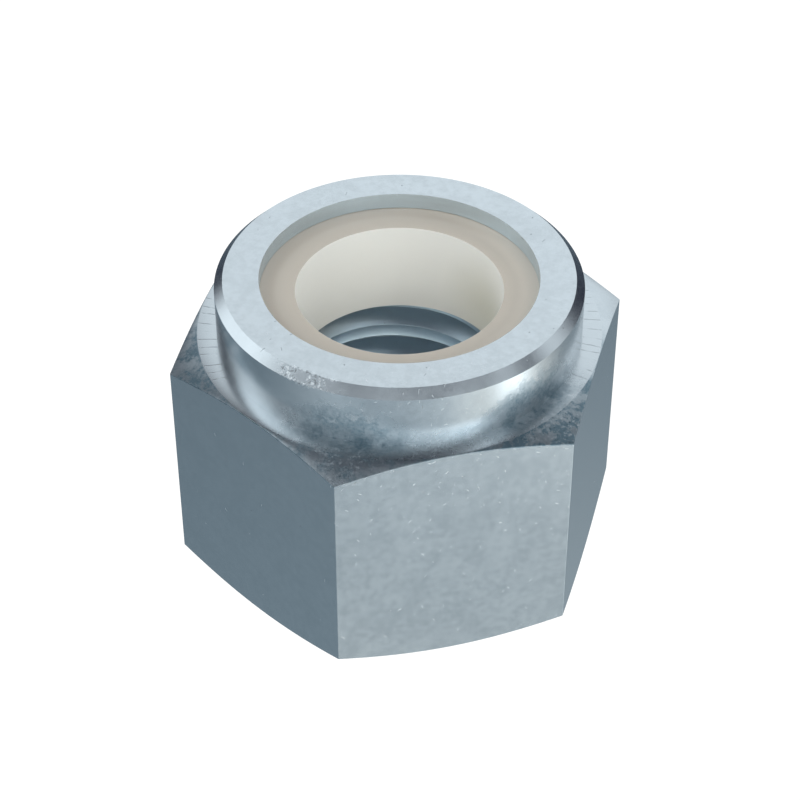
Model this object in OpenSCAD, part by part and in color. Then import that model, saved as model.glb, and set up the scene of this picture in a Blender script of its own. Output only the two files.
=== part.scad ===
// Hexagonal lock nut with a plastic ring held in a rolled collar.
// The bearing face lies on z = 0 and the bore runs up along +Z to the collar.
// Two flats face along X and two corners lie along Y. All lengths are in millimetres.

/* [Hexagon] */
// Distance across the flats
across_flats = 10; // [9.4:0.1:12]
// Height of the hexagon, from the bearing face to the shoulder
hexagon_h = 6.35; // [5.5:0.05:7]
// Angle between each end chamfer and the end face
chamfer_angle = 22.5; // [15:0.5:30]
// Distance inside the flats at which each end chamfer starts
chamfer_inset = 0.02; // [0.01:0.01:0.2]

/* [Threaded bore] */
// Nominal diameter of the thread
thread_d = 6; // [5.6:0.05:6.2]
// Diameter of the bore at the crests of the thread
thread_crest_d = 5.09; // [4.92:0.01:5.15]
// Distance by which the countersink is wider than the thread, on the diameter
countersink_over = 0.3; // [0.1:0.05:0.6]
// Full angle of the countersink in the bearing face
countersink_angle = 120; // [90:5:120]

/* [Insert ring] */
// Outer diameter of the ring
ring_d = 8; // [7.4:0.1:8.4]
// Height of the ring
ring_h = 2.46; // [1.8:0.02:3]
// Diameter of the plain hole through the ring
ring_bore_d = 5.09; // [4.9:0.01:5.6]
// Radius of the upper outer edge, which the rolled lip has pressed round
ring_edge_r = 0.35; // [0.1:0.05:0.5]
// Gap between the ring and the collar round and above it
ring_gap = 0.01; // [0.01:0.01:0.05]
// Width of the small bevel at each end of the ring's hole
ring_bevel = 0.05; // [0.02:0.01:0.12]

/* [Collar] */
// Height of the rim above the bearing face
rim_h = 7.92; // [7.5:0.02:8.5]
// Thickness of the collar's wall round the ring
collar_wall = 0.5; // [0.4:0.05:0.7]
// Thickness of the lip above the ring
lip_t = 0.42; // [0.3:0.02:0.6]
// Distance that the lip reaches inwards over the ring
lip_reach = 0.59; // [0.5:0.01:1]
// Width of the bevel round the outside of the rim
rim_bevel = 0.21; // [0.1:0.01:0.3]

/* [Hidden] */
$fn = 120;

hexagon_sides = 6;
half_side_angle = 180 / hexagon_sides;

// Overrun of a cut past the face that it opens
overrun = 0.1;

flat_r = across_flats / 2;
corner_r = flat_r / cos(half_side_angle);
face_r = flat_r - chamfer_inset;
blank_r = corner_r + overrun;
chamfer_rise = (blank_r - face_r) * tan(chamfer_angle);

crest_r = thread_crest_d / 2;
countersink_r = (thread_d + countersink_over) / 2;
countersink_depth = (countersink_r - crest_r) / tan(countersink_angle / 2);

ring_bore_r = ring_bore_d / 2;
seat_r = ring_d / 2 + ring_gap;
seat_z = rim_h - lip_t - ring_gap - ring_h;
collar_r = seat_r + collar_wall;
lip_r = seat_r - lip_reach;

// Hexagonal prism with its corners turned off to a cone at both ends
module hexagon() {
    intersection() {
        rotate([0, 0, half_side_angle])
            cylinder(r = corner_r, h = hexagon_h, $fn = hexagon_sides);
        rotate_extrude()
            polygon([
                [0, 0],
                [face_r, 0],
                [blank_r, chamfer_rise],
                [blank_r, hexagon_h - chamfer_rise],
                [face_r, hexagon_h],
                [0, hexagon_h]
            ]);
    }
}

// Round collar on the shoulder, bevelled round its rim
module collar() {
    rotate_extrude()
        polygon([
            [0, 0],
            [collar_r, 0],
            [collar_r, rim_h - rim_bevel],
            [collar_r - rim_bevel, rim_h],
            [0, rim_h]
        ]);
}

// Half section of the ring without its hole, made larger by a gap at its side and top,
// with its upper outer edge rounded
module ring_section(gap) {
    outer_r = ring_d / 2 + gap;
    top = ring_h + gap;
    edge_r = ring_edge_r + gap;
    difference() {
        square([outer_r, top]);
        translate([outer_r - edge_r, top - edge_r])
            difference() {
                square(edge_r + overrun);
                circle(r = edge_r);
            }
    }
}

// Space that the ring fills, under the rolled lip, and the lip's opening above it
module ring_seat() {
    translate([0, 0, seat_z])
        rotate_extrude()
            ring_section(ring_gap);
    translate([0, 0, seat_z])
        cylinder(r = lip_r, h = rim_h - seat_z + overrun);
}

// Bore at the thread's crests, with the countersink in the bearing face
module threaded_bore() {
    translate([0, 0, -overrun])
        cylinder(r = crest_r, h = seat_z + 2 * overrun);
    cylinder(r1 = countersink_r, r2 = crest_r, h = countersink_depth);
    translate([0, 0, -overrun])
        cylinder(r = countersink_r, h = overrun);
}

module nut_body() {
    color([0.67, 0.73, 0.76])
        difference() {
            union() {
                hexagon();
                collar();
            }
            threaded_bore();
            ring_seat();
        }
}

// Plain hole through the ring, bevelled at both ends
module ring_bore() {
    bevel_r = ring_bore_r + ring_bevel;
    translate([0, 0, -overrun])
        cylinder(r = ring_bore_r, h = ring_h + 2 * overrun);
    cylinder(r1 = bevel_r, r2 = ring_bore_r, h = ring_bevel);
    translate([0, 0, ring_h - ring_bevel])
        cylinder(r1 = ring_bore_r, r2 = bevel_r, h = ring_bevel);
}

module nylon_insert() {
    color([0.85, 0.83, 0.78])
        translate([0, 0, seat_z])
            difference() {
                rotate_extrude()
                    ring_section(0);
                ring_bore();
            }
}

nut_body();
nylon_insert();
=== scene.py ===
"""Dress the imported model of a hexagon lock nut: a zinc plated steel nut that holds a nylon ring.

The nut's outside, collar, ring seat and thread are one closed surface, worked out on a grid of
turn angle by section point. The ring is a second surface of the same kind. All lengths are in
metres, and a turn angle is counted from the corner of the hexagon that points along -Y towards +X.
"""

import logging
from dataclasses import dataclass
from enum import Enum
from typing import Sequence, Union

import bpy
import numpy as np
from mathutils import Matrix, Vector

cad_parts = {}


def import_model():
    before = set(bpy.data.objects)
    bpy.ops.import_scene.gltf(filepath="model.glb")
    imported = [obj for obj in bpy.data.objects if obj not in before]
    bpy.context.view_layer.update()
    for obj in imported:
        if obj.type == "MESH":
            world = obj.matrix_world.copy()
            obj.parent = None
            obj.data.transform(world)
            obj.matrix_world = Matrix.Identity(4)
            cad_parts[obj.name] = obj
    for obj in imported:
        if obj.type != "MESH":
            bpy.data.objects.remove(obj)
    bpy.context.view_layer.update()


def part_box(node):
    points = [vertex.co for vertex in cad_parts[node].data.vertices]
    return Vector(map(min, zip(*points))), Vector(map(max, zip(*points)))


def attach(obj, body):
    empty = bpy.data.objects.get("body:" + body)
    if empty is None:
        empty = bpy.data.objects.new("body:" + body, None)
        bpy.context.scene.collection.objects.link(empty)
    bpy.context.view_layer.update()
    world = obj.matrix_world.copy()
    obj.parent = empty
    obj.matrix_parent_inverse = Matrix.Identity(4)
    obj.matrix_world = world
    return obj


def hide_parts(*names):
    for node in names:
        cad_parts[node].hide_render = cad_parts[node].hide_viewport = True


LOG = logging.getLogger("lock_nut")
MM = 0.001
FULL_TURN = 2 * np.pi
ROOT_BODY = "root"
SAME_PLACE = 1e-5 * MM
SHARP_ANGLE = 38.0


class Node(Enum):
    """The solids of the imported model."""

    NUT = "nut_body"
    RING = "nylon_insert"


class Slot(Enum):
    """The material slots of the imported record."""

    STEEL = "steel"
    NYLON = "nylon"


def turned(section: np.ndarray, turns: np.ndarray) -> np.ndarray:
    """Carry a section round the bore's axis.

    A point at radius r, height z and turn angle t lies at (r sin t, -r cos t, z).

    Args:
        section: radius and height of each point, in an array of rows by turns by 2.
        turns: turn angle of each column, in radians.

    Returns:
        Places in an array of rows by turns by 3.
    """
    radius, height = section[..., 0], section[..., 1]
    return np.stack([radius * np.sin(turns), -radius * np.cos(turns), height], axis=-1)


def softened(corners: np.ndarray, setbacks: Sequence[float], steps: int = 4) -> np.ndarray:
    """Round the corners of a section by a little, as plating and tumbling leave them.

    A corner P with neighbours A and B becomes the parabola (1-s)^2 P' + 2s(1-s) P + s^2 P'',
    where P' and P'' lie one setback from P towards A and B. One more row on each side, a
    little further out, keeps the wide faces flat in their shading.

    Args:
        corners: radius and height of each corner, in an array of corners by turns by 2.
        setbacks: distance from each corner to the start of its curve, where 0 leaves it sharp.
        steps: straight pieces in each curve.

    Returns:
        Rows by turns by 2.
    """
    rows = []
    along = np.linspace(0, 1, steps + 1)[:, None, None]
    for index, setback in enumerate(setbacks):
        corner = corners[index]
        if setback == 0:
            rows.append(corner[None])
            continue
        sides = []
        for neighbour in (corners[index - 1], corners[index + 1]):
            reach = np.linalg.norm(neighbour - corner, axis=-1, keepdims=True)
            sides.append(((neighbour - corner) / reach, reach))
        curve_reach = np.minimum(setback, 0.3 * np.minimum(sides[0][1], sides[1][1]))
        start, end = (corner + curve_reach * way for way, _ in sides)
        curve = (1 - along) ** 2 * start + 2 * along * (1 - along) * corner + along**2 * end
        outer = [corner + np.minimum(2.5 * curve_reach, 0.45 * reach) * way for way, reach in sides]
        rows += [outer[0][None], curve, outer[1][None]]
    return np.concatenate(rows)


def corner_arc(
    centre: tuple[float, float], radius: float, start: float, end: float, points: int
) -> np.ndarray:
    """Points of a section's round edge: centre + radius (cos b, sin b) as b goes from start to end.

    Args:
        centre: radius and height of the arc's centre.
        radius: radius of the arc.
        start: first angle b, in degrees.
        end: last angle b, in degrees.
        points: number of points.

    Returns:
        Points by 2.
    """
    angles = np.radians(np.linspace(start, end, points))
    return np.array(centre) + radius * np.stack([np.cos(angles), np.sin(angles)], axis=-1)


def closed_mesh(name: str, places: np.ndarray) -> bpy.types.Object:
    """Make one closed mesh from a grid whose first and last rows and columns meet.

    Points that fall on each other become one vertex. A quad that loses one side that way
    becomes a triangle, and one that loses more is left out.

    Args:
        name: name of the piece.
        places: grid of rows by turns by 3.

    Returns:
        The new object, with its faces pointing outwards.
    """
    rows, columns = places.shape[:2]
    rounded = np.round(places.reshape(-1, 3) / SAME_PLACE).astype(np.int64)
    _, first, number = np.unique(rounded, axis=0, return_index=True, return_inverse=True)
    vertices = places.reshape(-1, 3)[first]
    grid = number.reshape(rows, columns)
    quads = np.stack([grid[:-1, :-1], grid[:-1, 1:], grid[1:, 1:], grid[1:, :-1]], axis=-1).reshape(-1, 4)
    lost = quads == np.roll(quads, -1, axis=1)
    whole = quads[lost.sum(axis=1) == 0]
    whole = whole[(whole[:, 0] != whole[:, 2]) & (whole[:, 1] != whole[:, 3])]
    narrowed, gone = quads[lost.sum(axis=1) == 1], lost[lost.sum(axis=1) == 1]
    triangles = narrowed[~gone].reshape(-1, 3)
    apex = vertices[whole[:, 0]]
    halves = [np.cross(vertices[whole[:, k]], vertices[whole[:, k + 1]]) for k in (1, 2)]
    if sum((apex * half).sum() for half in halves) < 0:
        whole, triangles = whole[:, ::-1], triangles[:, ::-1]
    mesh = bpy.data.meshes.new(name)
    mesh.from_pydata(vertices.tolist(), [], whole.tolist() + triangles.tolist())
    mesh.validate()
    mesh.shade_smooth()
    mesh.set_sharp_from_angle(angle=np.radians(SHARP_ANGLE))
    piece = bpy.data.objects.new(name, mesh)
    bpy.context.scene.collection.objects.link(piece)
    return piece


@dataclass(frozen=True)
class Thread:
    """A right-hand internal metric thread, with its crests at the bore's wall."""

    crest_radius: float = 2.545 * MM
    root_radius: float = 3.0 * MM
    pitch: float = 1.0 * MM
    root_flat: float = 0.125 * MM
    edge_blend: float = 0.008 * MM
    crest_height: float = 3.673 * MM

    def section_steps(self) -> np.ndarray:
        """Heights of the helical rows within one pitch, which crowd at the crest and root edges.

        Returns:
            Heights from the middle of one root to that of the next, counted from the crest's middle.
        """
        crest, root = self._crest_half(), self._root_start()
        blend = self.edge_blend
        half = np.concatenate([
            [0.0],
            crest + blend * np.array([-1.0, -0.5, 0.0, 0.5, 1.0]),
            np.linspace(crest, root, 5)[1:-1],
            root + blend * np.array([-1.0, 0.0, 1.0]),
        ])
        return np.concatenate([-half[:0:-1], half, [self.pitch / 2]])

    def _root_start(self) -> float:
        """Distance from the middle of a crest to the edge of the next root."""
        return (self.pitch - self.root_flat) / 2

    def _crest_half(self) -> float:
        """Half the width of a crest, from flanks that lean 30 degrees."""
        return self._root_start() - (self.root_radius - self.crest_radius) * np.tan(np.radians(30))

    def radius(self, height: np.ndarray, turns: np.ndarray) -> np.ndarray:
        """Radius of the thread's surface.

        With d the distance along the axis from the nearest crest's middle, the radius is the
        crest's radius plus (ramp(d - crest half) - ramp(d - root start)) / tan 30, where
        ramp(x) is 0 below 0 and x above it, with a parabola across one blend to each side.

        Args:
            height: height of each point.
            turns: turn angle of each point, in radians.

        Returns:
            One radius for each point.
        """
        phase = (height - self.crest_height) / self.pitch - turns / FULL_TURN
        distance = np.abs(phase - np.round(phase)) * self.pitch

        def ramp(x: np.ndarray) -> np.ndarray:
            """Ramp with a parabola at its foot."""
            foot = (x + self.edge_blend) ** 2 / (4 * self.edge_blend)
            return np.where(np.abs(x) < self.edge_blend, foot, np.maximum(x, 0))

        rise = ramp(distance - self._crest_half()) - ramp(distance - self._root_start())
        return self.crest_radius + rise / np.tan(np.radians(30))


@dataclass(frozen=True)
class SteelNut:
    """The steel nut: hexagon, shoulder, rolled collar, ring seat and threaded bore in one piece."""

    flat_radius: float
    rim_height: float
    ring_radius: float
    seat_height: float
    ring_top: float
    shoulder_height: float = 6.35 * MM
    chamfer_angle: float = 22.5
    chamfer_inset: float = 0.02 * MM
    corner_radius: float = 0.015 * MM
    ring_gap: float = 0.01 * MM
    bend_radius: float = 0.36 * MM
    collar_wall: float = 0.5 * MM
    lip_reach: float = 0.59 * MM
    rim_bevel: float = 0.21 * MM
    countersink_radius: float = 3.15 * MM
    countersink_slope: float = 60.0
    soft_edge: float = 0.003 * MM
    thread: Thread = Thread()

    @classmethod
    def from_frame(cls) -> "SteelNut":
        """Take the nut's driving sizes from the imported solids.

        Returns:
            The nut.
        """
        nut_low, nut_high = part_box(Node.NUT.value)
        ring_low, ring_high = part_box(Node.RING.value)
        return cls(
            flat_radius=(nut_high.x - nut_low.x) / 2,
            rim_height=nut_high.z,
            ring_radius=(ring_high.x - ring_low.x) / 2,
            seat_height=ring_low.z,
            ring_top=ring_high.z,
        )

    def turns(self) -> np.ndarray:
        """Turn angles of the grid's columns, which crowd round the six rounded corners.

        Returns:
            The angles in radians, from 0 to a full turn.
        """
        near = np.radians([0.0, 0.0225, 0.045, 0.0675, 0.09, 0.3])
        wide = np.radians(np.linspace(1.5, 30.0, 20))
        half = np.concatenate([near, wide])
        side = np.concatenate([half, np.pi / 3 - half[-2:0:-1]])
        return np.append((np.arange(6)[:, None] * np.pi / 3 + side).ravel(), FULL_TURN)

    def hexagon_radius(self, turns: np.ndarray) -> np.ndarray:
        """Radius of the hexagon with its corners rounded.

        With w the angle from the nearest corner, the flat lies at flat / cos(30 deg - w). Near the
        corner the radius is that of the corner's circle, whose centre is at distance c on the
        corner's line: c cos w + sqrt(q^2 - c^2 sin^2 w) for a circle of radius q.

        Args:
            turns: turn angles in radians, counted from a corner.

        Returns:
            One radius for each turn angle.
        """
        sixth = np.pi / 3
        from_corner = np.abs(turns - sixth * np.round(turns / sixth))
        flat = self.flat_radius / np.cos(np.pi / 6 - from_corner)
        centre = (self.flat_radius - self.corner_radius) / np.cos(np.pi / 6)
        under_root = self.corner_radius**2 - (centre * np.sin(from_corner)) ** 2
        round_part = centre * np.cos(from_corner) + np.sqrt(np.maximum(under_root, 0))
        return np.where(under_root > 0, np.minimum(flat, round_part), flat)

    def outer_rows(self, turns: np.ndarray) -> np.ndarray:
        """Rows from the countersink's mouth round the outside and the ring seat to the bore.

        Each corner of the section is a radius and a height. Those of the two end chamfers follow
        the hexagon: height = (hexagon radius - start radius) tan(chamfer angle).

        Args:
            turns: turn angles of the columns.

        Returns:
            Rows by turns by 2.
        """
        face = self.flat_radius - self.chamfer_inset
        hexagon = self.hexagon_radius(turns)
        chamfer = (hexagon - face) * np.tan(np.radians(self.chamfer_angle))
        seat = self.ring_radius + self.ring_gap
        collar = seat + self.collar_wall
        under_lip = self.ring_top + self.ring_gap
        bend_centre = (seat - self.bend_radius, under_lip - self.bend_radius)
        bend = corner_arc(bend_centre, self.bend_radius, 90, 0, 7)
        soft = self.soft_edge
        corners = [
            (self.countersink_radius, 0.0, 0.0),
            (face, 0.0, soft),
            (hexagon, chamfer, soft),
            (hexagon, self.shoulder_height - chamfer, 0.0),
            (face, self.shoulder_height, 0.0),
            (collar, self.shoulder_height, 0.0),
            (collar, self.rim_height - self.rim_bevel, 0.0),
            (collar - self.rim_bevel, self.rim_height, 0.0),
            (seat - self.lip_reach, self.rim_height, 0.0),
            (seat - self.lip_reach, under_lip, soft),
            *[(radius, height, 0.0) for radius, height in bend],
            (seat, self.seat_height, soft),
            (self.bore_radius(self.seat_height, turns), self.seat_height, 0.0),
        ]
        places = np.stack([
            np.stack(np.broadcast_arrays(radius, height, turns)[:2], axis=-1)
            for radius, height, _ in corners
        ])
        return softened(places, [setback for *_, setback in corners])

    def bore_radius(self, height: np.ndarray, turns: np.ndarray) -> np.ndarray:
        """Radius of the threaded bore, which is the wider of the thread and the countersink.

        The countersink is the cone with radius = mouth radius - height tan(slope).

        Args:
            height: height of each point.
            turns: turn angle of each point, in radians.

        Returns:
            One radius for each point.
        """
        countersink = self.countersink_radius - height * np.tan(np.radians(self.countersink_slope))
        return np.maximum(countersink, self.thread.radius(height, turns))

    def thread_rows(self, turns: np.ndarray) -> np.ndarray:
        """Helical rows of the thread, from the ring's seat down to the bearing face.

        A row keeps its place in the thread's section and climbs one pitch in a full turn. Above
        the seat and below the bearing face its height is held at that face, so that the rows end
        there in one curve.

        Args:
            turns: turn angles of the columns.

        Returns:
            Rows by turns by 2.
        """
        pitch = self.thread.pitch
        start = self.thread.crest_height - pitch * np.ceil(self.thread.crest_height / pitch + 1.5)
        count = int(np.ceil((self.seat_height - start) / pitch + 1))
        heights = (start + pitch * np.arange(count)[:, None] + self.thread.section_steps()).ravel()
        climbing = heights[::-1, None] + pitch * turns / FULL_TURN
        height = np.clip(climbing, 0, self.seat_height)
        return np.stack([self.bore_radius(height, turns), height], axis=-1)

    def build(self, finish: "ZincPlate") -> bpy.types.Object:
        """Make the nut and dress it.

        Args:
            finish: the nut's plating.

        Returns:
            The finished piece.
        """
        turns = self.turns()
        section = np.concatenate([self.outer_rows(turns), self.thread_rows(turns)])
        piece = closed_mesh("steel_nut", turned(section, turns))
        piece.data.materials.append(finish.material())
        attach(piece, ROOT_BODY)
        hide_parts(Node.NUT.value)
        return piece


@dataclass(frozen=True)
class NylonRing:
    """The plain ring that the collar traps, with the bolt's hole through it."""

    outer_radius: float
    low: float
    top: float
    hole_radius: float = 2.545 * MM
    hole_edge: float = 0.012 * MM
    pressed_radius: float = 0.35 * MM
    foot_edge: float = 0.05 * MM
    columns: int = 240

    @classmethod
    def from_frame(cls) -> "NylonRing":
        """Take the ring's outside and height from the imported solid."""
        low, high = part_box(Node.RING.value)
        return cls(outer_radius=(high.x - low.x) / 2, low=low.z, top=high.z)

    def build(self, finish: "Nylon") -> bpy.types.Object:
        """Make the ring and dress it.

        The section runs down the hole, out along the foot, up the outside, round the edge that
        the lip has pressed and back along the top to where it began.

        Args:
            finish: the ring's nylon.

        Returns:
            The finished piece.
        """
        turns = np.linspace(0, FULL_TURN, self.columns + 1)
        middle = (self.low + self.top) / 2
        pressed = (self.outer_radius - self.pressed_radius, self.top - self.pressed_radius)
        round_edge = corner_arc(pressed, self.pressed_radius, 0, 90, 7)
        corners = [
            (self.hole_radius, middle, 0.0),
            (self.hole_radius, self.low, 0.0),
            (self.outer_radius, self.low, self.foot_edge),
            *[(radius, height, 0.0) for radius, height in round_edge],
            (self.hole_radius, self.top, self.hole_edge),
            (self.hole_radius, middle, 0.0),
        ]
        places = np.stack([
            np.stack(np.broadcast_arrays(radius, height, turns)[:2], axis=-1)
            for radius, height, _ in corners
        ])
        section = softened(places, [setback for *_, setback in corners])
        piece = closed_mesh("nylon_ring", turned(section, turns))
        piece.data.materials.append(finish.material())
        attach(piece, ROOT_BODY)
        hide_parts(Node.RING.value)
        return piece


class Wire:
    """A shader socket whose arithmetic adds Math nodes."""

    def __init__(self, tree: bpy.types.NodeTree, socket: bpy.types.NodeSocket) -> None:
        """Hold a node tree and one of its output sockets."""
        self.tree = tree
        self.socket = socket

    def maths(self, operation: str, *values: "Number") -> "Wire":
        """Add a Math node.

        Args:
            operation: the node's operation.
            values: its inputs in order, as wires or plain numbers.

        Returns:
            The node's result.
        """
        node = self.tree.nodes.new("ShaderNodeMath")
        node.operation = operation
        for entry, value in zip(node.inputs, values):
            connect(self.tree, entry, value)
        return Wire(self.tree, node.outputs[0])

    def __add__(self, other: "Number") -> "Wire":
        """Sum."""
        return self.maths("ADD", self, other)

    def __radd__(self, other: "Number") -> "Wire":
        """Sum with a plain number first."""
        return self.maths("ADD", other, self)

    def __sub__(self, other: "Number") -> "Wire":
        """Difference."""
        return self.maths("SUBTRACT", self, other)

    def __rsub__(self, other: "Number") -> "Wire":
        """Difference with a plain number first."""
        return self.maths("SUBTRACT", other, self)

    def __mul__(self, other: "Number") -> "Wire":
        """Product."""
        return self.maths("MULTIPLY", self, other)

    def __rmul__(self, other: "Number") -> "Wire":
        """Product with a plain number first."""
        return self.maths("MULTIPLY", other, self)

    def __truediv__(self, other: "Number") -> "Wire":
        """Quotient."""
        return self.maths("DIVIDE", self, other)

    def __rtruediv__(self, other: "Number") -> "Wire":
        """Quotient with a plain number first."""
        return self.maths("DIVIDE", other, self)

    def __pow__(self, other: "Number") -> "Wire":
        """Power."""
        return self.maths("POWER", self, other)

    def size(self) -> "Wire":
        """Value without its sign."""
        return self.maths("ABSOLUTE", self)

    def least(self, other: "Number") -> "Wire":
        """Smaller of two values."""
        return self.maths("MINIMUM", self, other)

    def most(self, other: "Number") -> "Wire":
        """Larger of two values."""
        return self.maths("MAXIMUM", self, other)

    def above(self, limit: "Number") -> "Wire":
        """1 where the value is above a limit, and 0 elsewhere."""
        return self.maths("GREATER_THAN", self, limit)

    def below(self, limit: "Number") -> "Wire":
        """1 where the value is below a limit, and 0 elsewhere."""
        return self.maths("LESS_THAN", self, limit)


Number = Union[Wire, float]


def connect(tree: bpy.types.NodeTree, entry: bpy.types.NodeSocket, value: object) -> None:
    """Link a wire to an input socket, or set a plain value on it.

    Args:
        tree: the node tree.
        entry: the input socket.
        value: a wire, a number, a colour or a vector.
    """
    if isinstance(value, Wire):
        tree.links.new(value.socket, entry)
    else:
        entry.default_value = value


class Shader:
    """A node tree that is put together from wires."""

    def __init__(self, tree: bpy.types.NodeTree) -> None:
        """Start an empty tree."""
        self.tree = tree
        tree.nodes.clear()

    def node(
        self,
        kind: str,
        settings: dict[str, object],
        inputs: dict[Union[str, int], object],
        output: Union[str, int] = 0,
    ) -> Wire:
        """Add any node.

        Args:
            kind: the node's type, without its ShaderNode prefix.
            settings: attributes that are set first.
            inputs: a value or wire for each input, by its name or number.
            output: name or number of the output that is wanted.

        Returns:
            That output.
        """
        made = self.tree.nodes.new("ShaderNode" + kind)
        for name, value in settings.items():
            setattr(made, name, value)
        for name, value in inputs.items():
            connect(self.tree, made.inputs[name], value)
        return Wire(self.tree, made.outputs[output])

    def finish(self, surface: Wire) -> None:
        """Join a surface, or a world's light, to the tree's output.

        Args:
            surface: the shader that the output shows.
        """
        world = surface.socket.node.bl_idname == "ShaderNodeBackground"
        output = self.tree.nodes.new("ShaderNodeOutputWorld" if world else "ShaderNodeOutputMaterial")
        self.tree.links.new(surface.socket, output.inputs["Surface"])

    def ramp(self, value: Number, low: float, high: float, to: tuple[float, float] = (0.0, 1.0)) -> Wire:
        """Smooth step from one value to another as a wire goes from low to high."""
        ends = {"Value": value, "From Min": low, "From Max": high, "To Min": to[0], "To Max": to[1]}
        return self.node("MapRange", {"interpolation_type": "SMOOTHSTEP"}, ends)

    def vector(self, operation: str, *values: object, output: Union[str, int] = 0) -> Wire:
        """Add a Vector Math node with its inputs in order."""
        return self.node("VectorMath", {"operation": operation}, dict(enumerate(values)), output)

    def scaled(self, vector: object, factor: Number) -> Wire:
        """Multiply a vector or a colour by a number."""
        return self.node("VectorMath", {"operation": "SCALE"}, {0: vector, "Scale": factor})

    def blend(self, factor: Number, first: object, second: object) -> Wire:
        """Mix two colours, from the first at 0 to the second at 1."""
        return self.node("Mix", {"data_type": "RGBA"}, {0: factor, 6: first, 7: second}, 2)

    def noise(self, place: Wire, scale: float, detail: float = 2.0, roughness: float = 0.5) -> Wire:
        """Noise between 0 and 1, with scale in features for each unit of the place."""
        values = {"Vector": place, "Scale": scale, "Detail": detail, "Roughness": roughness}
        return self.node("TexNoise", {}, values, 0)


@dataclass(frozen=True)
class Sector:
    """A stretch of turn angle in degrees: whole to the inner angle each side, gone at the outer."""

    middle: float
    inner: float
    outer: float


@dataclass(frozen=True)
class Spot:
    """Where a finish is on the part, in millimetres and radians."""

    place: Wire
    radius: Wire
    turn: Wire
    height: Wire
    to_corner: Wire

    @classmethod
    def of(cls, shader: Shader) -> "Spot":
        """Read the place from the object's own coordinates.

        The radius is the root of x^2 + y^2, and the turn angle is that of (x, -y) from -Y. The
        distance to a corner is the turn angle from the nearest corner of the hexagon, in sixths.

        Args:
            shader: the tree that wants it.

        Returns:
            The place with its radius, turn angle, height and distance to a corner.
        """
        metres = shader.node("TexCoord", {}, {}, "Object")
        place = shader.scaled(metres, 1 / MM)
        across, away, height = (shader.node("SeparateXYZ", {}, {0: place}, axis) for axis in "XYZ")
        radius = (across * across + away * away) ** 0.5
        turn = across.maths("ARCTAN2", across, -1.0 * away)
        sixths = turn * (3 / np.pi)
        return cls(place, radius, turn, height, (sixths - sixths.maths("ROUND", sixths)).size())

    def within(self, shader: Shader, sector: Sector) -> Wire:
        """1 inside a sector, fading to 0 at its outer angle."""
        aside = (self.turn - np.radians(sector.middle)).size()
        return shader.ramp(aside, np.radians(sector.outer), np.radians(sector.inner))


@dataclass(frozen=True)
class Nick:
    """Size of a kind of small mark: cells for each millimetre, and its half sizes in cells."""

    per_mm: float
    length: float
    width: float


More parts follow.
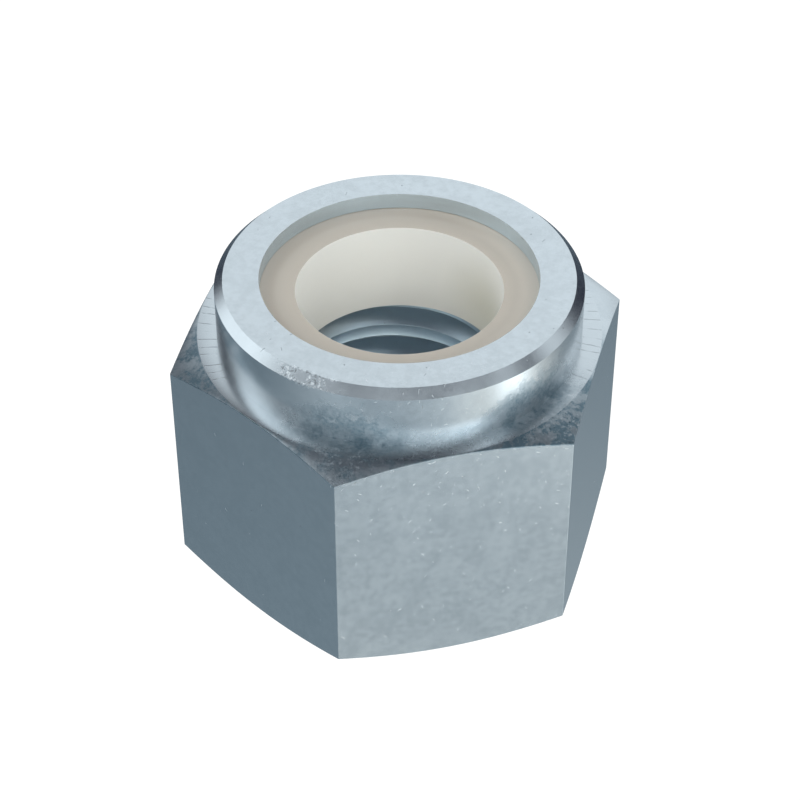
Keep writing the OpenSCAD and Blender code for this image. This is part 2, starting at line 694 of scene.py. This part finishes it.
@dataclass(frozen=True)
class ZincPlate:
    """Bright zinc on steel: a cool satin metal, clouded, nicked and scuffed by handling, with painted
    glints in the nicks, grime and painted shade on the chamfer and collar, and a painted reflection on the
    lip's inner wall.

    Its places are in millimetres and its sectors in degrees from the corner that points along -Y.
    """

    rim_height: float
    shoulder_height: float
    collar_radius: float
    face_radius: float
    lip_radius: float
    seat_height: float
    root_radius: float
    chamfer_angle: float
    tint: tuple[float, float, float, float] = (0.55, 0.58, 0.60, 1.0)
    # Lighter, bluer colour of the lip's inner wall: a painted reflection, not a different plating.
    lip_reflection_tint: tuple[float, float, float, float] = (0.72, 0.86, 0.97, 1.0)
    # Dark bluish grey of grime and painted shade.
    grime_and_shade_tint: tuple[float, float, float, float] = (0.15, 0.225, 0.27, 1.0)
    bore_tint: tuple[float, float, float, float] = (0.49, 0.58, 0.64, 1.0)
    # Near-white colour of the painted glints in the nicks.
    glint_fleck_tint: tuple[float, float, float, float] = (0.95, 0.97, 0.98, 1.0)
    roughness: float = 0.25
    bore_roughness: float = 0.42
    bright_line: Nick = Nick(per_mm=5.0, length=0.28, width=0.028)
    bright_dot: Nick = Nick(per_mm=7.0, length=0.12, width=0.05)
    dark_scratch: Nick = Nick(per_mm=2.6, length=0.2, width=0.025)
    dark_dot: Nick = Nick(per_mm=3.7, length=0.1, width=0.08)
    chipped: Sector = Sector(-14.0, 6.0, 13.0)
    front_corners: Sector = Sector(30.0, 38.0, 45.0)
    gripped: Sector = Sector(30.0, 29.0, 32.0)
    # Sectors that place grime and painted shade on the collar and the chamfer.
    front_darkening: Sector = Sector(28.0, 46.0, 64.0)
    unshaded_corner: Sector = Sector(120.0, 16.0, 28.0)
    dark_left_corner: Sector = Sector(-60.0, 16.0, 28.0)
    dark_right_corner: Sector = Sector(60.0, 16.0, 28.0)
    unscuffed: Sector = Sector(15.0, 54.0, 66.0)

    @classmethod
    def of_nut(cls, nut: SteelNut) -> "ZincPlate":
        """Take the places that the finish goes by from the nut, in millimetres.

        Args:
            nut: the nut that is plated.

        Returns:
            The plating.
        """
        seat = nut.ring_radius + nut.ring_gap
        return cls(
            rim_height=nut.rim_height / MM,
            shoulder_height=nut.shoulder_height / MM,
            collar_radius=(seat + nut.collar_wall) / MM,
            face_radius=(nut.flat_radius - nut.chamfer_inset) / MM,
            lip_radius=(seat - nut.lip_reach) / MM,
            seat_height=nut.seat_height / MM,
            root_radius=nut.thread.root_radius / MM,
            chamfer_angle=nut.chamfer_angle,
        )

    def material(self) -> bpy.types.Material:
        """Make the plating's material.

        Returns:
            The material.
        """
        material = bpy.data.materials.new("zinc_plate")
        material.use_nodes = True
        shader = Shader(material.node_tree)
        spot = Spot.of(shader)
        clouds = self.clouds(shader, spot)
        grime_and_shade = self.grime_and_shade(shader, spot)
        grit = self.grit(shader, spot)
        glint_flecks = self.glint_flecks(shader, spot, grime_and_shade, grit)
        scuffs = self.scuffs(shader, spot).most(self.ticks(shader, spot, grime_and_shade, grit))
        # Painted reflection: the lip's inner wall is coloured lighter and bluer than the rest of the
        # plating, standing in for the light it reflects.
        lip = shader.ramp(spot.radius, self.lip_radius + 0.03, self.lip_radius + 0.01)
        lip = lip * spot.height.above(self.seat_height + 0.1)
        lip = lip * spot.height.below(self.rim_height - 0.004)
        bore = shader.ramp(spot.radius, self.root_radius + 0.1, self.root_radius + 0.05)
        colour = shader.blend(bore, shader.blend(lip, self.tint, self.lip_reflection_tint), self.bore_tint)
        on_rim = shader.ramp(spot.height, self.rim_height - 0.01, self.rim_height - 0.005)
        colour = shader.scaled(colour, 1 + (0.05 + 0.08 * on_rim) * (clouds - 0.5))
        # Grime and painted shade darken the chamfer and the collar's foot towards a dark bluish grey.
        colour = shader.blend(0.75 * grime_and_shade, colour, self.grime_and_shade_tint)
        colour = shader.scaled(colour, 1 - 0.4 * scuffs)
        # Painted glints: the nicks are near-white and not metal, standing in for light glinting off them.
        colour = shader.blend(glint_flecks, colour, self.glint_fleck_tint)
        height = 0.02 * clouds + 0.6 * glint_flecks - scuffs
        normal = shader.node("Bump", {}, {"Strength": 1.0, "Distance": 0.003 * MM, "Height": height})
        rough = shader.ramp(bore, 0.0, 1.0, (self.roughness, self.bore_roughness))
        surface = shader.node("BsdfPrincipled", {}, {
            "Base Color": colour,
            "Metallic": 1 - glint_flecks,
            "Roughness": rough + 0.03 * (clouds - 0.5) + 0.12 * grime_and_shade + 0.1 * glint_flecks,
            "Normal": normal,
        })
        shader.finish(surface)
        return material

    def clouds(self, shader: Shader, spot: Spot) -> Wire:
        """Soft cells of a fifth of a millimetre, over broader ones.

        Args:
            shader: the material's tree.
            spot: where the finish is.

        Returns:
            0 in a dark cell to 1 in a bright one.
        """
        fine = shader.noise(spot.place, 5.0, 4.0, 0.6)
        broad = shader.noise(spot.place, 1.3, 2.0, 0.5)
        return shader.ramp(0.6 * fine + 0.4 * broad, 0.34, 0.66)

    def nicks(self, shader: Shader, spot: Spot, mark: Nick, share: Number) -> Wire:
        """Short straight marks at random places and angles.

        Space is parted into cells round random points. In a chosen cell the mark is what a thin
        slab through the point, turned at random, and a small ball round the point share.

        Args:
            shader: the tree that wants them.
            spot: where the finish is.
            mark: size of the marks.
            share: part of the cells that hold a mark.

        Returns:
            1 in a mark and 0 outside.
        """
        place = shader.scaled(spot.place, mark.per_mm)
        point = shader.node("TexVoronoi", {}, {"Vector": place, "Scale": 1.0}, "Position")
        away = shader.vector("SUBTRACT", place, point)
        drawn = shader.node("TexWhiteNoise", {}, {"Vector": point}, "Value")
        way = shader.node("TexWhiteNoise", {}, {"Vector": point}, "Color")
        way = shader.vector("NORMALIZE", shader.vector("SUBTRACT", way, (0.5, 0.5, 0.5)))
        across = shader.vector("DOT_PRODUCT", away, way, output="Value").size()
        reach = shader.vector("LENGTH", away, output="Value")
        inside = shader.ramp(across, mark.width, 0.3 * mark.width)
        inside = inside * shader.ramp(reach, mark.length, 0.7 * mark.length)
        return inside * drawn.below(share)

    def grit(self, shader: Shader, spot: Spot) -> Wire:
        """Where marks crowd: a chipped stretch of the rim's bevel and the two front corners.

        Args:
            shader: the material's tree.
            spot: where the finish is.

        Returns:
            0 where there is none to 1 in a chip.
        """
        bevel = shader.ramp(spot.height, self.rim_height - 0.3, self.rim_height - 0.2)
        bevel = bevel * shader.ramp(spot.radius, self.collar_radius - 0.3, self.collar_radius - 0.22)
        chipped = bevel * spot.within(shader, self.chipped)
        corner = shader.ramp(spot.to_corner, 0.2, 0.1) * spot.within(shader, self.front_corners)
        corner = corner * shader.ramp(spot.radius, self.collar_radius, self.face_radius)
        corner = corner * shader.ramp(spot.height, self.shoulder_height - 0.45, self.shoulder_height - 0.3)
        clusters = shader.ramp(shader.noise(spot.place, 3.1, 3.0), 0.38, 0.5)
        return clusters * chipped.most(0.35 * corner)

    def crumbs(self, shader: Shader, spot: Spot, none: float, whole: float) -> Wire:
        """Ragged grains of a tenth of a millimetre, where fine noise passes from none to whole."""
        return shader.ramp(shader.noise(spot.place, 10.0, 4.0, 0.7), none, whole)

    def glint_flecks(self, shader: Shader, spot: Spot, grime_and_shade: Wire, grit: Wire) -> Wire:
        """Tiny nicks with painted glints: near-white spots that are not metal stand in for light glinting
        off their facets. They are thickest high on the flat that was gripped and in grime, painted shade
        and grit.

        Args:
            shader: the material's tree.
            spot: where the finish is.
            grime_and_shade: how much grime and painted shade the place has.
            grit: how chipped the place is.

        Returns:
            How bright the nick is, and 0 outside.
        """
        gripped = spot.within(shader, self.gripped)
        share = 0.03 + gripped * shader.ramp(spot.height, 0.5, 6.0, (0.06, 0.5)) + 0.25 * grime_and_shade
        lines = self.nicks(shader, spot, self.bright_line, 0.8 * share.least(0.6))
        dots = self.nicks(shader, spot, self.bright_dot, share.least(0.6))
        crumbs = self.crumbs(shader, spot, 0.56, 0.61)
        return (0.36 * lines).most(0.3 * dots).most((0.45 * grit + 0.1 * grime_and_shade) * crumbs)

    def ticks(self, shader: Shader, spot: Spot, grime_and_shade: Wire, grit: Wire) -> Wire:
        """Short dark scratches and dots on the rim, its bevel and the collar.

        Args:
            shader: the material's tree.
            spot: where the finish is.
            grime_and_shade: how much grime and painted shade the place has.
            grit: how chipped the place is.

        Returns:
            How dark the mark is, and 0 outside.
        """
        share = shader.ramp(spot.height, self.shoulder_height + 0.3, self.rim_height - 0.2, (0.02, 0.22))
        scratches = self.nicks(shader, spot, self.dark_scratch, share)
        dots = self.nicks(shader, spot, self.dark_dot, share)
        crumbs = self.crumbs(shader, spot, 0.45, 0.39)
        return (0.7 * scratches).most(0.8 * dots).most((1.2 * grit + 0.3 * grime_and_shade) * crumbs)

    def grime_and_shade(self, shader: Shader, spot: Spot) -> Wire:
        """Dark bluish grime and painted shade on the upper chamfer and, in front, on the shoulder and low
        on the collar.

        A cloud on the collar is painted shade along the crease where it meets the shoulder. It climbs
        highest above a corner of the hexagon, to an edge that smoky noise makes ragged. All round the
        chamfer the same noise parts dark puffs from lighter ones, and the chamfer is painted darker, as
        shade, at the two front corners and kept light at the back right one.

        Args:
            shader: the material's tree.
            spot: where the finish is.

        Returns:
            0 where there is none to about 1.2 where grime and painted shade are thickest.
        """
        smoke = shader.noise(spot.place, 2.4, 5.0, 0.65)
        grain = shader.ramp(shader.noise(spot.place, 12.0, 3.0, 0.7), 0.4, 0.6)
        past_face = shader.ramp(spot.radius, self.face_radius, self.face_radius + 0.03)
        cone = spot.height + (spot.radius - self.face_radius) * np.tan(np.radians(self.chamfer_angle))
        chamfer = past_face * shader.ramp(cone, self.shoulder_height - 0.05, self.shoulder_height - 0.01)
        # Painted shade: less on the chamfer at the back right corner, more at the two front corners.
        chamfer = chamfer * (1 - 0.9 * spot.within(shader, self.unshaded_corner))
        chamfer = chamfer * (1 + 0.3 * spot.within(shader, self.dark_left_corner))
        chamfer = chamfer * (1 + 0.45 * spot.within(shader, self.dark_right_corner))
        # Painted shade low on the collar, along the crease with the shoulder, climbing highest above a
        # corner.
        reach_up = shader.ramp(spot.to_corner, 0.42, 0.08, (0.42, 1.15))
        level = (spot.height - self.shoulder_height) / reach_up + 2.2 * (smoke - 0.5)
        foot = shader.ramp(level, 1.0, 0.7)
        outside = shader.ramp(spot.radius, self.collar_radius - 0.1, self.collar_radius - 0.05)
        above = shader.ramp(spot.height, self.shoulder_height - 0.02, self.shoulder_height - 0.01)
        front_darkening = spot.within(shader, self.front_darkening)
        crease_shade_and_stain = foot * shader.ramp(spot.to_corner, 0.4, 0.1, (0.25, 1.0))
        crease_shade_and_stain = crease_shade_and_stain * shader.ramp(spot.radius, self.collar_radius + 0.1, self.face_radius, (1.0, 0.6))
        puffs = shader.ramp(smoke, 0.4, 0.58)
        chamfer = chamfer * (0.34 + 0.62 * puffs)
        collar = outside * above * crease_shade_and_stain * front_darkening * (0.36 + 0.54 * puffs)
        return (1.15 * chamfer.most(collar) * (0.75 + 0.25 * grain)).least(1.25)

    def scuffs(self, shader: Shader, spot: Spot) -> Wire:
        """Thin dark lines across the shoulder, which the rolling tool left.

        Args:
            shader: the material's tree.
            spot: where the finish is.

        Returns:
            How dark the line is, and 0 outside.
        """
        level = shader.ramp((spot.height - self.shoulder_height).size(), 0.02, 0.01)
        ring = level * shader.ramp(spot.radius, self.collar_radius, self.collar_radius + 0.03)
        ring = ring * shader.ramp(spot.radius, self.face_radius + 0.01, self.face_radius)
        wobble = shader.noise(spot.place, 3.0, 2.0)
        along = spot.turn * 15.0 + 0.35 * spot.radius + 0.25 * wobble
        settings = {"voronoi_dimensions": "1D", "feature": "DISTANCE_TO_EDGE"}
        edge = shader.node("TexVoronoi", settings, {"W": along, "Scale": 1.0}, "Distance")
        worn = shader.ramp(shader.noise(spot.place, 2.6, 2.0), 0.42, 0.58, (0.1, 1.0))
        behind = 1 - spot.within(shader, self.unscuffed)
        return 0.6 * ring * worn * behind * shader.ramp(edge, 0.07, 0.02)


@dataclass(frozen=True)
class Nylon:
    """Undyed nylon: warm white, smooth and slightly waxy, with its places in millimetres."""

    hole_radius: float
    hole_tint: tuple[float, float, float, float] = (1.0, 0.935, 0.85, 1.0)
    # Darker colour of the ring's top: painted shade, a shaded copy of the hole's nylon.
    top_shade_tint: tuple[float, float, float, float] = (0.69, 0.58, 0.47, 1.0)
    # Still darker colour near the lip: a painted shadow of the lip on the top.
    lip_shadow_tint: tuple[float, float, float, float] = (0.65, 0.53, 0.42, 1.0)
    # Brownish colour of a patch of painted shade in the hole.
    hole_shade_tint: tuple[float, float, float, float] = (0.80, 0.74, 0.62, 1.0)
    roughness: float = 0.4
    # Where the top is painted lighter near the lip: a painted pool of light.
    lit: Sector = Sector(105.0, 30.0, 75.0)
    hole_shade_turn: float = 135.0
    hole_shade_half_turn: float = 42.0
    hole_shade_height: float = 5.8
    hole_shade_half_height: float = 1.9

    def material(self) -> bpy.types.Material:
        """Make the nylon's material.

        Returns:
            The material.
        """
        material = bpy.data.materials.new("nylon")
        material.use_nodes = True
        shader = Shader(material.node_tree)
        spot = Spot.of(shader)
        on_top = shader.ramp(spot.radius, self.hole_radius, self.hole_radius + 0.01)
        lit = spot.within(shader, self.lit)
        # Painted shadow of the lip on the top, left out on the right.
        lip_shadow = shader.ramp(spot.radius, 2.95, 3.15) * (1 - lit)
        haze = shader.noise(spot.place, 0.7, 3.0, 0.5)
        # Painted shade: a brownish darkening on the back right of the hole's wall.
        colour = shader.blend(self.hole_shade(shader, spot), self.hole_tint, self.hole_shade_tint)
        # Painted shade: the top is a darker copy of the nylon than the hole's wall.
        colour = shader.blend(on_top, colour, shader.blend(lip_shadow, self.top_shade_tint, self.lip_shadow_tint))
        # Painted light: the top is lighter near the lip on the right.
        colour = shader.scaled(colour, 1 + 0.16 * shader.ramp(spot.radius, 2.8, 3.1) * lit)
        colour = shader.scaled(colour, 1 + 0.08 * (haze - 0.5))
        grain = shader.noise(spot.place, 9.0, 3.0, 0.5)
        normal = shader.node("Bump", {}, {"Strength": 1.0, "Distance": 0.001 * MM, "Height": grain})
        surface = shader.node("BsdfPrincipled", {}, {
            "Base Color": colour,
            "Roughness": self.roughness + 0.1 * (grain - 0.5),
            "Normal": normal,
        })
        shader.finish(surface)
        return material

    def hole_shade(self, shader: Shader, spot: Spot) -> Wire:
        """Painted shade: a soft brownish darkening low on the back right of the hole's wall.

        Args:
            shader: the material's tree.
            spot: where the finish is.

        Returns:
            1 in the middle of the mark, fading to 0 at its edge.
        """
        aside = (spot.turn - np.radians(self.hole_shade_turn)) / np.radians(self.hole_shade_half_turn)
        above = (spot.height - self.hole_shade_height) / self.hole_shade_half_height
        return shader.ramp((aside * aside + above * above) ** 0.5, 1.0, 0.0)


class Tint(Enum):
    """Colours of the studio's lamps."""

    COOL = (0.90, 0.99, 1.03)
    WARM = (1.0, 0.98, 0.90)


@dataclass(frozen=True)
class Softbox:
    """One soft patch of light far off, with its direction counted from the camera's in degrees."""

    azimuth: float
    elevation: float
    half_width: float
    half_height: float
    strength: float
    tint: Tint
    grazing: float = 0.05

    def glow(self, shader: Shader, towards: Wire, camera_azimuth: float) -> Wire:
        """Light of the patch along a direction.

        With x and y the direction's offsets on a plane that faces the patch, measured in half
        widths and half heights, the light falls smoothly from full at x^2 + y^2 = 0.25 to none
        at x^2 + y^2 = 2.25.

        Args:
            shader: the world's tree.
            towards: the direction.
            camera_azimuth: azimuth of the camera, in degrees.

        Returns:
            The patch's colour along the direction.
        """
        turn, rise = np.radians(self.azimuth + camera_azimuth), np.radians(self.elevation)
        centre = Vector((np.sin(turn) * np.cos(rise), -np.cos(turn) * np.cos(rise), np.sin(rise)))
        side = Vector((np.cos(turn), np.sin(turn), 0))
        ahead, across, up = (
            shader.vector("DOT_PRODUCT", towards, tuple(axis), output="Value")
            for axis in (centre, side, centre.cross(side))
        )
        across = across / ahead.most(self.grazing) / np.tan(np.radians(self.half_width))
        up = up / ahead.most(self.grazing) / np.tan(np.radians(self.half_height))
        share = shader.ramp((across * across + up * up) ** 0.5, 1.5, 0.5)
        return shader.scaled(self.tint.value, self.strength * share * ahead.above(self.grazing))


@dataclass(frozen=True)
class Studio:
    """Pale floor, soft light and the camera of the photograph.

    The softboxes are listed from the camera's left round to its right. The upper ones show in the
    rim, its bevel and the chamfer, and the lower ones in the upright flats and the collar's wall.
    """

    camera_azimuth: float = 15.0
    camera_elevation: float = 39.97
    camera_distance: float = 56.45 * MM
    target_height: float = 3.952 * MM
    target_right: float = 0.013 * MM
    lens: float = 100.0
    nearest: float = 1 * MM
    farthest: float = 10.0
    floor_half: float = 1.0
    floor_drop: float = 0.002 * MM
    floor_glow: float = 1.1
    backdrop: tuple[float, float, float, float] = (1.0, 1.0, 1.0, 1.0)
    fill: tuple[float, float, float] = (0.0, 0.0, 0.02)
    bounce: tuple[float, float, float] = (0.32, 0.43, 0.48)
    upper_softboxes: tuple[Softbox, ...] = (
        Softbox(-115, 45, 8, 8, 0.6, Tint.COOL),
        Softbox(-102, 10, 30, 14, 1.7, Tint.COOL),
        Softbox(-100, 45, 15, 20, 1.5, Tint.COOL),
        Softbox(-80, 45, 25, 22, 0.55, Tint.COOL),
        Softbox(-25, 90, 55, 8, 0.4, Tint.COOL),
        Softbox(-5, 35, 60, 12, 1.6, Tint.COOL),
        Softbox(25, 0, 50, 35, 1.3, Tint.COOL),
        Softbox(40, 30, 10, 12, 1.7, Tint.COOL),
        Softbox(75, 55, 8, 18, 1.7, Tint.COOL),
        Softbox(115, 30, 20, 12, 1.5, Tint.COOL),
        Softbox(170, 30, 35, 25, 1.2, Tint.COOL),
    )
    lower_softboxes: tuple[Softbox, ...] = (
        Softbox(-60, -40, 25, 10, 0.1, Tint.COOL),
        Softbox(-28, -22, 32, 13, 1.4, Tint.COOL),
        Softbox(5, -80, 35, 15, 1.7, Tint.WARM),
        Softbox(70, -35, 45, 10, 0.8, Tint.WARM),
        Softbox(75, -15, 10, 35, 1.7, Tint.COOL),
        Softbox(95, -85, 35, 20, 1.8, Tint.WARM),
        Softbox(105, -70, 35, 30, 0.25, Tint.WARM),
    )

    def camera(self) -> bpy.types.Object:
        """Put the camera at the photograph's angle and distance and make it the scene's own.

        Returns:
            The camera.
        """
        turn, rise = np.radians(self.camera_azimuth), np.radians(self.camera_elevation)
        back = Vector((np.sin(turn) * np.cos(rise), -np.cos(turn) * np.cos(rise), np.sin(rise)))
        right = Vector((np.cos(turn), np.sin(turn), 0))
        target = right * self.target_right + Vector((0, 0, self.target_height))
        data = bpy.data.cameras.new("camera")
        data.lens = self.lens
        data.clip_start, data.clip_end = self.nearest, self.farthest
        made = bpy.data.objects.new("camera", data)
        made.location = target + back * self.camera_distance
        made.rotation_mode = "QUATERNION"
        made.rotation_quaternion = (-back).to_track_quat("-Z", "Y")
        bpy.context.scene.collection.objects.link(made)
        bpy.context.scene.camera = made
        return made

    def floor(self) -> bpy.types.Object:
        """Lay a pale floor under the nut, which glows evenly and stays out of the metal's reflections.

        Returns:
            The floor.
        """
        half = self.floor_half
        mesh = bpy.data.meshes.new("floor")
        corners = [(-half, -half, 0), (half, -half, 0), (half, half, 0), (-half, half, 0)]
        mesh.from_pydata(corners, [], [(0, 1, 2, 3)])
        floor = bpy.data.objects.new("floor", mesh)
        bpy.context.scene.collection.objects.link(floor)
        floor.location.z = -self.floor_drop
        floor.visible_glossy = False
        floor.visible_diffuse = False
        material = bpy.data.materials.new("pale_floor")
        material.use_nodes = True
        shader = Shader(material.node_tree)
        shader.finish(shader.node("Emission", {}, {"Strength": self.floor_glow}))
        mesh.materials.append(material)
        return floor

    def light(self) -> None:
        """Light the studio: a faint blue fill, light that comes up from the ground and the softboxes.

        The camera itself sees a white backdrop in place of the lights.
        """
        world = bpy.data.worlds.new("studio")
        bpy.context.scene.world = world
        world.use_nodes = True
        shader = Shader(world.node_tree)
        towards = shader.node("TexCoord", {}, {}, "Generated")
        height = shader.node("SeparateXYZ", {}, {0: towards}, "Z")
        total = shader.vector("ADD", self.fill, shader.scaled(self.bounce, (-1.0 * height).most(0.0)))
        for softbox in self.upper_softboxes + self.lower_softboxes:
            total = shader.vector("ADD", total, softbox.glow(shader, towards, self.camera_azimuth))
        seen = shader.node("LightPath", {}, {}, "Is Camera Ray")
        colour = shader.blend(seen, total, self.backdrop)
        shader.finish(shader.node("Background", {}, {"Color": colour}))


def main() -> None:
    """Build the nut, its ring and the studio, and report each piece."""
    logging.basicConfig(level=logging.INFO, format="%(message)s")
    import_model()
    studio = Studio()
    studio.camera()
    studio.floor()
    studio.light()
    nut = SteelNut.from_frame()
    ring = NylonRing.from_frame()
    pieces = [
        nut.build(ZincPlate.of_nut(nut)),
        ring.build(Nylon(hole_radius=ring.hole_radius / MM)),
    ]
    for piece in pieces:
        LOG.info("%s: %d faces", piece.name, len(piece.data.polygons))
    bpy.context.scene.view_settings.view_transform = "Standard"


if __name__ == "__main__":
    main()
